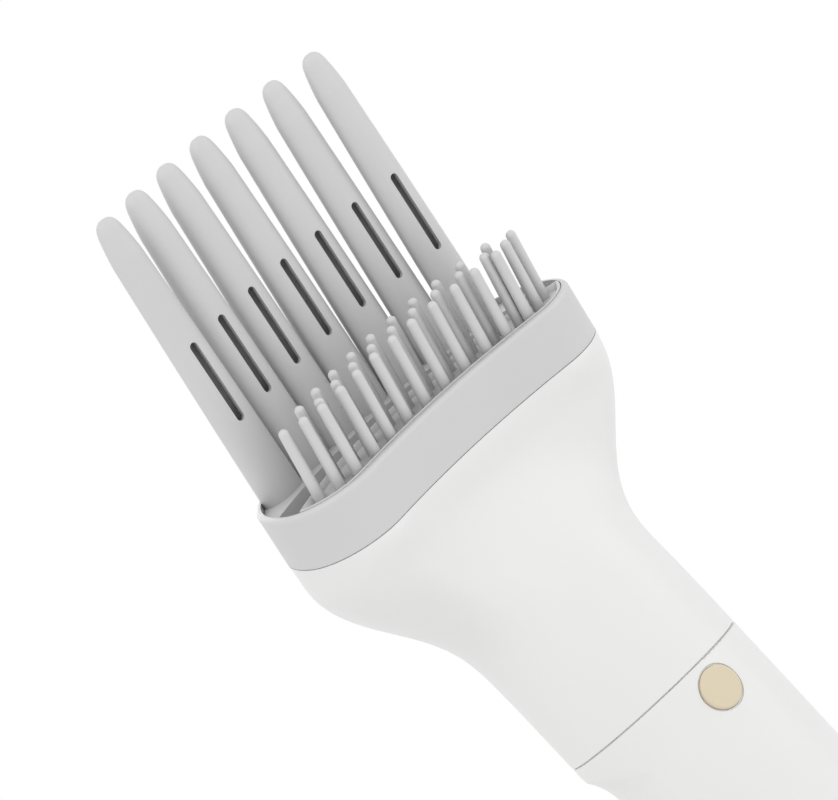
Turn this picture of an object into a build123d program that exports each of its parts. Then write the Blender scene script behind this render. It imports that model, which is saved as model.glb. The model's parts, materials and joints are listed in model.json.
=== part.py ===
"""Hot air styler with a pull-off comb nozzle.

A round handle holds the fan, the heater and the switch. A bean-mouthed nozzle with seven hollow
tines and a pad of pins plugs onto it and is held by a latch that the round button frees.

Frame: +Z runs up the handle's axis, the origin is the centre of the tail, and the front, with
the button and the pins, faces -Y. All lengths are millimetres and all angles are degrees.
"""

from build123d import *
import math
import os

# Handle
handle_radius = 24.1
handle_wall = 2.2
seam_height = 190.0
seam_gap = 0.3
barrel_foot = 50.3
edge_round = 0.5

# Finger scoop that narrows the back of the handle
scoop_shift = 3.0
scoop_depth = 4.5
scoop_top_drop = 2.2
scoop_top_arc = 14.0
scoop_foot = 64.0
scoop_foot_arc = 200.0

# Release button
button_drop = 7.2
button_radius = 5.0
button_gap = 0.45
button_proud = 0.3
button_travel = 2.0
button_flange_radius = 6.2
button_flange_top = 5.0

# Sliding power switch
slider_rest = 112.0
slider_travel = 12.0
slider_width = 9.6
slider_length = 17.0
slider_proud = 1.4
slider_sink = 0.8
slider_gap = 0.4
slider_stem_width = 3.6
slider_stem_length = 6.0

# Air path inside the handle
duct_radius = 15.5
duct_wall = 1.2
motor_foot = 58.0
motor_top = 102.0
heater_drop = 18.0
liner_wall = 0.5
ribbon_height = 0.7
ribbon_thick = 0.4
ribbon_inset = 0.9

# Fan and motor
fan_hub_radius = 7.0
fan_gap = 0.35
fan_blades = 9
fan_foot = 62.0
fan_height = 11.0
stator_vanes = 7
can_radius = 9.4
can_wall = 0.8
can_foot = 76.0
shaft_radius = 1.0
bearing_radius = 3.0
bearing_height = 2.0
running_gap = 0.05
magnet_radius = 7.2

# Spigot that the nozzle plugs onto
spigot_radius = 19.0
spigot_wall = 1.5
spigot_height = 16.0
spigot_bore = 13.4
flange_thick = 1.5

# Latch
latch_width = 7.0
latch_thick = 1.4
latch_face = 18.5
latch_drop = 42.0
latch_boss_height = 8.0
tooth_foot = 4.8
tooth_height = 3.4
tooth_reach = 2.1

# Circuit board and switch body
board_foot = 84.0
board_margin = 2.0
board_width = 14.0
board_thick = 1.2
board_face = 18.1
switch_thick = 1.8
switch_width = 8.0
switch_margin = 1.4

# Intake end
cap_radius = 22.0
cap_height = 6.0
cage_radius = 21.2
cage_wall = 2.2
cage_rib = 5.0
cage_shoulder = 50.0
cover_wall = 1.6
cover_foot = 2.0
cover_slots = 26
cover_slot_width = 2.2
cover_slot_height = 15.0
mesh_wall = 0.45
stud_radius = 1.2
stud_height = 45.6
twist_angle = 25.0
gland_radius = 7.0
gland_bore = 3.6
gland_neck = 5.0
gland_sink = 1.0
gland_top = 14.0
carrier_foot = 8.5
carrier_top = 12.0
carrier_radius = 18.4
lead_radius = 0.8
lead_apart = 3.0
lead_depth = 17.2
screw_circle = 18.6
cap_screw_circle = 17.2
cap_screw_turn = 60.0

# Nozzle shell
neck_height = 23.4
shell_wall = 2.2
head_rise = 88.4
head_tilt = 20.9
shell_sway = 4.5
neck_sway = 0.5
sleeve_height = 17.2
sleeve_gap = 0.08
sleeve_step = 0.3
lip_thick = 1.5
guide_vanes = 3
guide_ring_height = 3.0
guide_vane_height = 30.0

# Bean-shaped mouth, in the head's own frame: u across, v to the back, w up out of the mouth
head_half_width = 46.0
head_back = 12.0
head_back_drop = 9.0
head_back_corner = 23.0
head_front = 26.6
head_front_drop = 7.1
head_front_corner = 14.6
collar_height = 12.8
collar_side_wall = 1.4
collar_front_wall = 2.0
collar_back_wall = 1.3
collar_edge = 1.1
collar_seam = 0.25
ledge_thick = 1.8
ledge_width = 3.0
tongue_depth = 2.5
tongue_inset = 3.2
tongue_wall = 1.3

# Pin pad
pad_gap = 0.2
pad_sink = 0.4
pad_thick = 2.4
pad_wall = 1.5
pad_rim_width = 0.6
pad_rim_height = 0.5
pad_back = 9.3
pad_back_radius = 92.0
pin_length = 17.6
pin_foot_radius = 1.35
pin_tip_radius = 1.15
pin_lean = 5.8
pin_row_step = 0.65
front_row = ((3.2, 21.5), (9.7, 22.0), (16.2, 23.0), (22.2, 23.9), (28.8, 24.8), (33.4, 23.2), (37.7, 20.7))
middle_row_count = 9
middle_row_depth = 18.0
middle_row_bend = 0.006
back_row_count = 10
back_row_depth = 14.5
back_row_bend = 0.0054
inner_row_pitch = 6.85

# Tine comb
tine_count = 7
tine_pitch = 11.0
tine_front = 1.94
tine_arc_radius = 109.0
tine_foot_width = 10.8
tine_mid_width = 9.3
tine_mid_height = 40.0
tine_shoulder_width = 8.2
tine_shoulder_height = 61.0
tine_height = 70.8
tine_flatness = 0.66
tine_lean = 1.0
tine_wall = 1.5
tine_slot_width = 2.0
tine_slot_foot = 18.2
tine_slot_top = 38.4
comb_web_top = -1.5
comb_web_inset = 1.0
comb_gap = 0.1
comb_shelf = 2.6
comb_plate = 1.6
comb_wall = 1.4

# Small screws of the head and the handle
screw_radius = 0.85
screw_head_radius = 1.8
screw_head_height = 1.3
screw_grip = 6.0
screw_gap = 0.05
pad_screw_at = (30.0, -23.5)
comb_screw_at = 1.5 * tine_pitch

bore_radius = handle_radius - handle_wall
flange_radius = bore_radius - 0.1
scoop_top = seam_height - scoop_top_drop
heater_top = seam_height - heater_drop
latch_foot = seam_height - latch_drop
board_top = latch_foot - board_margin
can_top = motor_top - 4
seam_low = seam_height - seam_gap / 2
seam_high = seam_height + seam_gap / 2
button_height = seam_height - button_drop
ledge_top = ledge_thick - collar_height
top_align = (Align.CENTER, Align.CENTER, Align.MIN)

head_up = (0, -math.sin(math.radians(head_tilt)), math.cos(math.radians(head_tilt)))
head_plane = Plane(origin=(0, 0, seam_height + head_rise), x_dir=(1, 0, 0), z_dir=head_up)
head_place = head_plane.location


def save(node, shape):
    """Writes one node, as a single solid or a group of separate solids."""
    solids = shape.solids()
    result = solids[0] if len(solids) == 1 else Compound(children=list(solids))
    result.label = node
    export_step(result, f"parts/{node}.step")


def disc(radius, low, high):
    return Pos(0, 0, low) * Cylinder(radius, high - low, align=top_align)


def ring(outer, inner, low, high):
    return disc(outer, low, high) - disc(inner, low - 1, high + 1)


def block(x_low, x_high, y_low, y_high, z_low, z_high):
    size = (x_high - x_low, y_high - y_low, z_high - z_low)
    centre = ((x_low + x_high) / 2, (y_low + y_high) / 2, (z_low + z_high) / 2)
    return Pos(*centre) * Box(*size)


def turned(*profile):
    """Turns a closed outline of radius and height points about the Z axis."""
    return revolve(make_face(Plane.XZ * Polyline(*profile, close=True)), Axis.Z)


def front_prism(face, height, near, far):
    """Extrudes a flat outline towards the back, from y = -far to y = -near, at a height."""
    plane = Plane(origin=(0, -far, height), x_dir=(1, 0, 0), z_dir=(0, 1, 0))
    return extrude(plane * face, far - near)


def upright_slot(width, length):
    return Rot(0, 0, 90) * SlotOverall(length, width)


def around(count, shape, start=0.0):
    """A list of copies of a shape, spaced evenly about the Z axis."""
    return [Rot(0, 0, start + 360 / count * i) * shape for i in range(count)]


def bean(side_wall=0.0, front_wall=0.0, back_wall=0.0):
    """The mouth's outline as a face, set in from the outside of the head by three walls."""
    half = head_half_width - side_wall
    back = head_back - back_wall
    front = front_wall - head_front
    edges = [
        ThreePointArc((half, back - head_back_drop), (0, back), (-half, back - head_back_drop)),
        Line((-half, back - head_back_drop), (-half, front - head_front_drop)),
        ThreePointArc((-half, front - head_front_drop), (0, front), (half, front - head_front_drop)),
        Line((half, front - head_front_drop), (half, back - head_back_drop)),
    ]
    face = make_face(edges)
    face = fillet(face.vertices().sort_by(Axis.Y)[:2], head_front_corner - front_wall)
    return fillet(face.vertices().sort_by(Axis.Y)[-2:], head_back_corner - back_wall)


def bean_prism(low, high, side_wall=0.0, front_wall=0.0, back_wall=0.0):
    return Pos(0, 0, low) * extrude(bean(side_wall, front_wall, back_wall), high - low)


def collar_bore(low, high, gap=0.0):
    """The space inside the collar's wall, less a gap all round."""
    return bean_prism(low, high, collar_side_wall + gap, collar_front_wall + gap, collar_back_wall + gap)


# Handle


def scoop_core(inset):
    """The turned body that the handle is trimmed to, set forward so that only its back is cut."""
    rim = handle_radius + scoop_shift - inset
    base = rim - scoop_depth
    top_angle = math.acos(1 - scoop_depth / scoop_top_arc)
    foot_angle = math.acos(1 - scoop_depth / scoop_foot_arc)
    top_low = scoop_top - scoop_top_arc * math.sin(top_angle)
    foot_high = scoop_foot + scoop_foot_arc * math.sin(foot_angle)
    top_mid = (
        base + scoop_top_arc * (1 - math.cos(top_angle / 2)),
        top_low + scoop_top_arc * math.sin(top_angle / 2),
    )
    foot_mid = (
        base + scoop_foot_arc * (1 - math.cos(foot_angle / 2)),
        foot_high - scoop_foot_arc * math.sin(foot_angle / 2),
    )
    outside = rim + handle_radius
    edges = [
        Line((0, 0), (outside, 0)),
        Line((outside, 0), (outside, scoop_foot)),
        Line((outside, scoop_foot), (rim, scoop_foot)),
        ThreePointArc((rim, scoop_foot), foot_mid, (base, foot_high)),
        Line((base, foot_high), (base, top_low)),
        ThreePointArc((base, top_low), top_mid, (rim, scoop_top)),
        Line((rim, scoop_top), (outside, scoop_top)),
        Line((outside, scoop_top), (outside, seam_height + 1)),
        Line((outside, seam_height + 1), (0, seam_height + 1)),
        Line((0, seam_height + 1), (0, 0)),
    ]
    return Pos(0, -scoop_shift, 0) * revolve(make_face([Plane.XZ * edge for edge in edges]), Axis.Z)


def slider_track(width, length, near, far):
    """An upright slot at the middle of the power slider's travel."""
    middle = slider_rest + slider_travel / 2
    return front_prism(upright_slot(width, length), middle, near, far)


def screw_bosses(low, high, radius):
    """Upright rods on the circle of the three screws that hold the intake cage."""
    rod = Pos(0, screw_circle, 0) * disc(radius, low, high)
    return around(3, rod)


def handle_barrel():
    outside = disc(handle_radius, barrel_foot, seam_low)
    outside = fillet(outside.edges().filter_by(GeomType.CIRCLE), edge_round)
    inside = disc(bore_radius, barrel_foot - 1, seam_height + 1)
    barrel = (outside & scoop_core(0)) - (inside & scoop_core(handle_wall))
    shelf = ring(bore_radius + 0.5, bore_radius - 1.2, seam_low - flange_thick - 1.2, seam_low - flange_thick)
    shelf -= block(-8, 8, -handle_radius, 0, 0, seam_height)
    stop = ring(bore_radius + 0.5, bore_radius - 2.2, motor_foot, motor_foot + 1.5)
    rods = [rod & disc(bore_radius + 0.5, 0, seam_height) for rod in screw_bosses(motor_foot, motor_foot + 5, 2.0)]
    rail_edge = board_width / 2 - 0.5
    rail = block(rail_edge, rail_edge + 1.8, -bore_radius + 0.9, -board_face, board_foot, board_top)
    rails = [rail, mirror(rail, Plane.YZ)]
    boss_top = latch_foot + latch_boss_height
    latch_boss = block(-4.5, 4.5, -bore_radius - 0.5, -latch_face, latch_foot, boss_top)
    stake = front_prism(Circle(0.9), latch_foot + latch_boss_height / 2, latch_face - latch_thick, latch_face)
    barrel = barrel + shelf + stop + rods + rails + latch_boss + stake
    for screw_hole in screw_bosses(motor_foot - 1, motor_foot + 4, screw_radius + screw_gap):
        barrel -= screw_hole
    barrel -= front_prism(Circle(button_radius + button_gap), button_height, bore_radius - 2, handle_radius + 1)
    track_width = slider_width + 2 * slider_gap
    track_length = slider_length + slider_travel + 2 * slider_gap
    recess = slider_track(track_width, track_length, 10, handle_radius + 1)
    barrel -= recess - disc(handle_radius - slider_sink, 0, seam_height)
    slot_width = slider_stem_width + 2 * slider_gap
    slot_length = slider_stem_length + slider_travel + 2 * slider_gap
    middle = slider_rest + slider_travel / 2
    half = slot_length / 2
    return barrel - block(-slot_width / 2, slot_width / 2, -handle_radius, -bore_radius + 2, middle - half, middle + half)


def outlet_spigot():
    """Double-walled spigot: the outer wall guides the nozzle, the inner one carries the hot air."""
    inner_out = spigot_bore + duct_wall
    foot = heater_top
    crown = seam_height + spigot_height
    body = turned(
        (spigot_radius, seam_low),
        (spigot_radius, crown - 0.8),
        (spigot_radius - 0.8, crown),
        (spigot_bore, crown),
        (spigot_bore, foot + 6),
        (duct_radius - duct_wall, foot),
        (duct_radius, foot),
        (duct_radius, foot + 1),
        (inner_out, foot + 7),
        (inner_out, crown - 2),
        (spigot_radius - spigot_wall, crown - 2),
        (spigot_radius - spigot_wall, seam_low - flange_thick),
        (flange_radius, seam_low - flange_thick),
        (flange_radius, seam_low),
    )
    room = latch_width / 2 + 0.4
    window_top = seam_height + tooth_foot + tooth_height + 2
    arm_back = latch_face - latch_thick - button_travel
    return body - block(-room, room, -spigot_radius - 0.1, -arm_back, seam_low - flange_thick - 1, window_top)


def outlet_grille():
    top = seam_height + spigot_height - 2
    rim = spigot_bore - running_gap
    grille = ring(rim, rim - 1.2, top - 2.5, top)
    for radius in (rim * 0.3, rim * 0.62):
        grille += ring(radius + 0.4, radius - 0.4, top - 2, top)
    spoke = block(rim * 0.3, rim - 0.6, -0.4, 0.4, top - 2, top)
    return grille + around(6, spoke)


def latch_arm():
    half = latch_width / 2
    arm_top = seam_height + tooth_foot + tooth_height + 0.8
    arm = block(-half, half, -latch_face, latch_thick - latch_face, latch_foot, arm_top)
    foot = seam_height + tooth_foot
    outline = Polyline(
        (-latch_face + 0.4, foot),
        (-latch_face - tooth_reach, foot),
        (-latch_face - tooth_reach, foot + 1),
        (-latch_face + 0.4, foot + tooth_height),
        close=True,
    )
    tooth = extrude(make_face(Plane.YZ * outline), half - 0.3, both=True)
    stake_hole = front_prism(
        Circle(0.9 + screw_gap), latch_foot + latch_boss_height / 2, latch_face - latch_thick - 1, latch_face + 1
    )
    return arm + tooth - stake_hole


def release_button():
    cap = front_prism(Circle(button_radius), button_height, bore_radius - 1.3, handle_radius + button_proud)
    front_edge = cap.edges().filter_by(GeomType.CIRCLE).sort_by(Axis.Y)[0]
    cap = fillet(front_edge, 0.6)
    flange_back = bore_radius - 2.3
    flange = front_prism(Circle(button_flange_radius), button_height, flange_back, bore_radius - 1.3)
    keep = block(-10, 10, -handle_radius, 0, 0, button_height + button_flange_top)
    stem = front_prism(Circle(2.0), button_height, latch_face + 0.2, flange_back)
    return cap + (flange & keep) + stem


def power_slider():
    """Curved thumb piece with grip ridges and a stem that reaches through the handle's wall."""
    outline = front_prism(upright_slot(slider_width, slider_length), slider_rest, 10, handle_radius + 5)
    floor = handle_radius - slider_sink + 0.35
    piece = outline & ring(handle_radius + slider_proud, floor, 0, seam_height)
    for step in (-1.5, -0.5, 0.5, 1.5):
        height = slider_rest + 2.4 * step
        piece -= ring(handle_radius + 5, handle_radius + slider_proud - 0.5, height - 0.5, height + 0.5)
    half_width = slider_stem_width / 2
    half_length = slider_stem_length / 2
    carrier_back = bore_radius - 1.5
    stem = block(
        -half_width, half_width, -floor - 0.3, -carrier_back, slider_rest - half_length, slider_rest + half_length
    )
    return piece + stem


def slider_carrier():
    """Plate behind the wall that keeps the slider in and drives the switch with its prong."""
    back = bore_radius - 1.5
    plate = block(-4, 4, -back - 0.7, -back, slider_rest - 8, slider_rest + 8)
    plate -= block(-1.85, 1.85, -back - 1, -back + 1, slider_rest - 3.05, slider_rest + 3.05)
    bridge = block(-4, 4, -back, -back + 0.3, slider_rest - 4.5, slider_rest + 4.5)
    prong = block(-0.9, 0.9, -back + 0.3, -board_face - 1.2, slider_rest - 1, slider_rest + 1)
    return plate + bridge + prong


def slide_switch():
    front = board_face + switch_thick
    middle = slider_rest + slider_travel / 2
    half = slider_travel / 2 + 1 + switch_margin
    body = block(-switch_width / 2, switch_width / 2, -front, -board_face, middle - half - 1.5, middle + half + 1.5)
    return body - block(-1.2, 1.2, -front - 1, -board_face - 0.9, middle - half, middle + half)


def control_board():
    half = board_width / 2
    board = block(-half, half, -board_face, board_thick - board_face, board_foot, board_top)
    chip = block(-3, 3, -board_face - 1.4, -board_face, board_top - 12, board_top - 5)
    relay = block(-4, 4, -board_face - 1.6, -board_face, board_foot + 4, board_foot + 15)
    return board + chip + relay


def heater_liner():
    return ring(duct_radius, duct_radius - liner_wall, motor_top, heater_top)


def card_levels():
    """Heights of the heater's wire loops."""
    low = motor_top + 9
    high = heater_top - 14
    return [low + (high - low) * i / 8 for i in range(9)]


def heater_cards():
    """Two mica cards slotted into each other, notched on their edges for the wire."""
    reach = duct_radius - liner_wall - 0.15
    low = motor_top + 3
    high = heater_top - 3
    middle = (low + high) / 2
    card_a = block(-reach, reach, -0.3, 0.3, low, high) - block(-0.35, 0.35, -1, 1, low - 1, middle)
    card_b = block(-0.3, 0.3, -reach, reach, low, high) - block(-1, 1, -0.35, 0.35, middle, high + 1)
    for level in card_levels():
        for turn in range(4):
            notch = block(reach - 2.2, reach + 1, -1, 1, level - ribbon_height, level + ribbon_height)
            notch = Rot(0, 0, 90 * turn) * notch
            if turn % 2 == 0:
                card_a -= notch
            else:
                card_b -= notch
    return Compound(children=[card_a.solid(), card_b.solid()])


def heater_coils():
    """One square turn of heating ribbon at each level, its corners in the cards' notches."""
    reach = duct_radius - liner_wall - 0.15
    side = (reach - ribbon_inset) * math.sqrt(2)
    bore = side - 2 * ribbon_thick
    turns = []
    for level in card_levels():
        loop = Box(side, side, ribbon_height) - Box(bore, bore, 2 * ribbon_height)
        turns.append((Pos(0, 0, level) * Rot(0, 0, 45) * loop).solid())
    return Compound(children=turns)


def thermal_cutout():
    top = heater_top - 4
    return block(2.0, 6.0, 0.3, 2.8, top - 9, top)


def fan_blade(tip, low, high, pitch, root):
    """One pitched blade between a hub and the duct, trimmed to both."""
    depth = high - low
    plate = Pos((root + tip) / 2, 0, (low + high) / 2) * Rot(pitch, 0, 0) * Box(tip - root + 3, 0.9, depth * 1.6)
    return plate & ring(tip, root - 0.4, low, high)


def motor_housing():
    """Fan duct with the fixed vanes that carry the motor's cup."""
    bore = duct_radius - duct_wall
    cup = ring(can_radius + 1.1, can_radius + running_gap, can_foot, can_top - 4)
    vane = fan_blade(bore + 0.4, can_foot + 1, can_foot + 13, -28, can_radius + 1.1)
    return ring(duct_radius, bore, motor_foot, motor_top) + cup + around(stator_vanes, vane)


def motor_can():
    """Cup of the motor with a seat for a bearing in each end."""
    bearing_seat = bearing_radius
    wall = ring(can_radius, can_radius - can_wall, can_foot, can_top)
    foot = ring(can_radius, bearing_seat, can_foot, can_foot + bearing_height)
    top = ring(can_radius, bearing_seat, can_top - bearing_height, can_top)
    return wall + foot + top


def motor_stator():
    """Ring of laminations with six wound poles."""
    outer = can_radius - can_wall
    low = can_foot + 5
    high = can_top - 5
    core = ring(outer, outer - 0.7, low, high)
    pole = block(magnet_radius + 0.3, outer - 0.3, -1.6, 1.6, low, high)
    return core + around(6, pole)


def shaft_bearings():
    rings = [
        ring(bearing_radius, shaft_radius + running_gap, can_foot, can_foot + bearing_height),
        ring(bearing_radius, shaft_radius + running_gap, can_top - bearing_height, can_top),
    ]
    return Compound(children=[bearing.solid() for bearing in rings])


def motor_shaft():
    return disc(shaft_radius, fan_foot + 2, can_top - 0.2)


def rotor_magnet():
    return ring(magnet_radius, shaft_radius, can_foot + 5, can_top - 5)


def impeller():
    tip = duct_radius - duct_wall - fan_gap
    hub = disc(fan_hub_radius, fan_foot, fan_foot + fan_height)
    hub = fillet(hub.edges().filter_by(GeomType.CIRCLE).sort_by(Axis.Z)[0], 3.0)
    blade = fan_blade(tip, fan_foot + 1.5, fan_foot + fan_height - 1, 38, fan_hub_radius)
    return hub + around(fan_blades, blade) - disc(shaft_radius, fan_foot + 2, fan_foot + fan_height + 1)


# Intake end


def tail_cap():
    cap = disc(cap_radius, 0, cap_height)
    cap = fillet(cap.edges().filter_by(GeomType.CIRCLE).sort_by(Axis.Z)[0], 1.2)
    cap -= disc(gland_radius, -1, cap_height + 1)
    cap -= disc(gland_radius + 5, -1, gland_sink)
    for hole in cap_screw_rods(screw_radius + screw_gap, -1, cap_height + 1):
        cap -= hole
    for seat in cap_screw_rods(screw_head_radius + 0.2, -1, screw_head_height + 0.5):
        cap -= seat
    return cap


def cap_screw_rods(radius, low, high):
    rod = Pos(0, cap_screw_circle, 0) * disc(radius, low, high)
    return around(3, rod, cap_screw_turn)


def intake_cage():
    """Open cage under the filter: a foot ring, ribs, and a flange that enters the barrel."""
    inner = cage_radius - cage_wall
    throat = duct_radius - duct_wall
    flange_foot = cage_shoulder + 0.6
    cage = turned(
        (carrier_radius - 3, cap_height),
        (cage_radius, cap_height),
        (cage_radius, flange_foot),
        (bore_radius - 0.1, flange_foot),
        (bore_radius - 0.1, motor_foot),
        (throat, motor_foot),
        (throat, flange_foot),
        (inner, flange_foot),
        (inner, carrier_top),
        (carrier_radius + 0.1, carrier_top),
        (carrier_radius + 0.1, carrier_foot),
        (carrier_radius - 3, carrier_foot),
    )
    half = (inner * math.pi / 3 - cage_rib) / 2
    window = block(inner - 3, cage_radius + 3, -half, half, carrier_top, stud_height - stud_radius - 0.4)
    for opening in around(6, window, 30):
        cage -= opening
    stud = Pos(0, 0, stud_height) * Rot(0, 90, 0) * Cylinder(stud_radius, cage_radius + 1.9, align=top_align)
    stud -= disc(inner + 0.5, 0, seam_height)
    cage += around(3, stud, 30)
    for hole in screw_bosses(cage_shoulder, motor_foot + 1, screw_radius + screw_gap):
        cage -= hole
    for pocket in screw_bosses(cage_shoulder - 8, motor_foot - 3, screw_head_radius + 0.2):
        cage -= pocket
    lead_gap = lead_radius + 0.15
    for side in (-1, 1):
        cage -= Pos(side * lead_apart, -lead_depth, 0) * disc(lead_gap, cage_shoulder - 1, motor_foot + 1)
    for hole in cap_screw_rods(screw_radius + screw_gap, 0, carrier_foot + 0.1):
        cage -= hole
    return cage


def screw(tip_up, head_at, reach):
    """A pan-head screw along Z with its head's seat at a height and its tip above it."""
    shank = disc(screw_radius, head_at - 0.2, head_at + reach)
    return tip_up * (shank + disc(screw_head_radius, head_at - screw_head_height, head_at))


def cage_screws():
    seat = motor_foot - 3
    rod = screw(Pos(0, screw_circle, 0), seat, screw_grip)
    return Compound(children=[piece.solid() for piece in around(3, rod)])


def cap_screws():
    seat = screw_head_height + 0.5
    rod = screw(Pos(0, cap_screw_circle, 0), seat, screw_grip)
    return Compound(children=[piece.solid() for piece in around(3, rod, cap_screw_turn)])


def filter_cover():
    """Slotted sleeve over the intake, held by three studs in its twist grooves."""
    inner = handle_radius - cover_wall
    top = barrel_foot - seam_gap
    cover = disc(handle_radius, cover_foot, top)
    cover = fillet(cover.edges().filter_by(GeomType.CIRCLE).sort_by(Axis.Z)[0], 1.5)
    cover -= disc(inner, 0, top + 1)
    plane = Plane(origin=(inner - 2, 0, 0), x_dir=(0, 1, 0), z_dir=(1, 0, 0))
    for row in (0, 1):
        middle = cover_foot + 5 + cover_slot_height / 2 + row * (cover_slot_height + 3.5)
        slot = extrude(plane * (Pos(0, middle) * upright_slot(cover_slot_width, cover_slot_height)), cover_wall + 4)
        cover -= around(cover_slots, slot, row * 180 / cover_slots)
    depth = inner + cover_wall / 2
    half = stud_radius + 0.2
    band = Plane.XZ * (Pos((inner - 1 + depth) / 2, stud_height) * Rectangle(depth - inner + 1, 2 * half))
    groove = revolve(band, Axis.Z, revolution_arc=twist_angle)
    entry = block(inner - 1, depth, -half, half, stud_height - half, stud_height + half)
    lock = Rot(0, 0, -twist_angle) * groove
    way_in = Rot(0, 0, -twist_angle) * block(inner - 1, depth, -half, half, stud_height - half, top + 1)
    for cut in (entry, lock, way_in):
        cover -= around(3, cut, 30)
    return cover


def filter_mesh():
    outer = handle_radius - cover_wall - running_gap
    return ring(outer, outer - mesh_wall, cap_height + 0.5, stud_height - 4)


def cord_gland():
    """Swivel bush that the lead would leave by: it turns in the tail and cannot be pulled out."""
    body = disc(gland_radius - running_gap, gland_sink, cap_height + 0.2)
    body += disc(gland_radius + 2, cap_height + 0.05, cap_height + 2)
    body += disc(gland_neck, cap_height + 2, gland_top)
    body -= disc(gland_bore, 0, gland_top + 1)
    return fillet(body.edges().filter_by(GeomType.CIRCLE).sort_by(Axis.Z)[:1], 0.5)


def contact_carrier():
    """Disc over the gland with the fixed contacts of the swivel."""
    return ring(carrier_radius, gland_neck + running_gap, carrier_foot, carrier_top)


def supply_leads():
    leads = []
    for side in (-1, 1):
        lead = Pos(side * lead_apart, -lead_depth, 0) * disc(lead_radius, carrier_top, board_foot)
        leads.append(lead.solid())
    return Compound(children=leads)


# Nozzle


def smooth(share):
    return share**3 * (10 - 15 * share + 6 * share**2)


def front_share(outline):
    """Share of the way round an outline at which it crosses the middle of its front."""
    steps = 400
    near = [i / steps for i in range(steps) if outline.position_at(i / steps).Y < 0]
    guess = min(near, key=lambda share: abs(outline.position_at(share).X))
    low = guess - 1 / steps
    high = guess + 1 / steps
    rising = outline.position_at(high % 1).X > 0
    for _ in range(30):
        middle = (low + high) / 2
        if (outline.position_at(middle % 1).X > 0) == rising:
            high = middle
        else:
            low = middle
    return (low + high) / 2


def nozzle_body(wall):
    """Lofts the nozzle from its round neck to the bean-shaped mouth, set in by a wall."""
    radius = handle_radius - wall
    outline = bean(wall, wall, wall).wire()
    middle = (head_back - head_front) / 2
    start_share = front_share(outline)
    count = 36
    points = []
    for i in range(count):
        point = outline.position_at((start_share + i / count) % 1)
        points.append((point.X, point.Y - middle))
    mouth = head_plane.from_local_coords(Vector(0, middle, -collar_height - collar_seam))
    neck = Vector(0, 0, seam_height + neck_height)
    sections = [(Vector(0, 0, seam_high), 0.0, 0.0)]
    for share in (0.14, 0.28, 0.42, 0.56, 0.7, 0.85):
        sections.append((Vector(0, neck_sway * share**3, seam_height + neck_height * share), 0.0, 0.0))
    steps = 7
    for i in range(steps):
        share = i / (steps - 1)
        centre = neck + (mouth - neck) * share
        sway = neck_sway * (1 - share) + shell_sway * math.sin(math.pi * share**1.4)
        centre = Vector(0, mouth.Y * share + sway, centre.Z)
        sections.append((centre, head_tilt * share**1.5, smooth(share)))
    wires = []
    for centre, tilt, blend in sections:
        up = (0, -math.sin(math.radians(tilt)), math.cos(math.radians(tilt)))
        plane = Plane(origin=centre, x_dir=(1, 0, 0), z_dir=up)
        loop = []
        for u, v in points:
            scale_round = (1 - blend) * radius / math.hypot(u, v)
            loop.append((u * (scale_round + blend), v * (scale_round + blend)))
        wires.append(Wire([plane * Spline(*loop, periodic=True)]))
    return Solid.make_loft(wires)


def nozzle_shell():
    return nozzle_body(0) - nozzle_body(shell_wall)


def coupling_sleeve():
    """Bush inside the neck: it slides over the spigot and has the window that the latch bites."""
    snug = handle_radius - shell_wall - sleeve_gap
    outer = snug - sleeve_step
    inner = spigot_radius + 0.06
    top = seam_height + sleeve_height
    sleeve = ring(outer, inner, seam_high, top) + ring(snug, inner, seam_high, seam_height + 10)
    sleeve += ring(outer, spigot_bore + 0.6, top, top + lip_thick)
    room = latch_width / 2 + 0.1
    foot = seam_height + tooth_foot - 0.3
    window = block(-room, room, -snug - 1, -inner + 1, foot, foot + tooth_height + 0.7)
    return sleeve - window


def outlet_seal():
    top = seam_height + sleeve_height
    return ring(spigot_radius - 0.4, spigot_bore + 0.6, seam_height + spigot_height + running_gap, top)


def air_guide():
    """Ring on the sleeve with upright vanes that spread the air across the mouth."""
    outer = handle_radius - shell_wall - sleeve_gap - 2 * sleeve_step
    foot = seam_height + sleeve_height + lip_thick
    guide = ring(outer, outer - 1.6, foot, foot + guide_ring_height)
    for i in range(guide_vanes):
        offset = (i - (guide_vanes - 1) / 2) * 11
        half = math.sqrt((outer - 0.8) ** 2 - offset ** 2)
        low = block(offset - 0.6, offset + 0.6, -half, half, foot, foot + 8)
        high = block(offset - 0.6, offset + 0.6, -half * 0.5, half * 0.5, foot + 7.9, foot + guide_vane_height)
        guide += low + high
    return guide


def screw_points():
    """Places of the head's four screws in the head's frame: two in the pad and two in the comb."""
    drop = comb_screw_at ** 2 / 2 / tine_arc_radius
    comb_v = tine_front - drop + tine_foot_width * tine_flatness / 2
    return [
        (pad_screw_at[0], pad_screw_at[1]),
        (-pad_screw_at[0], pad_screw_at[1]),
        (comb_screw_at, comb_v),
        (-comb_screw_at, comb_v),
    ]


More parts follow.
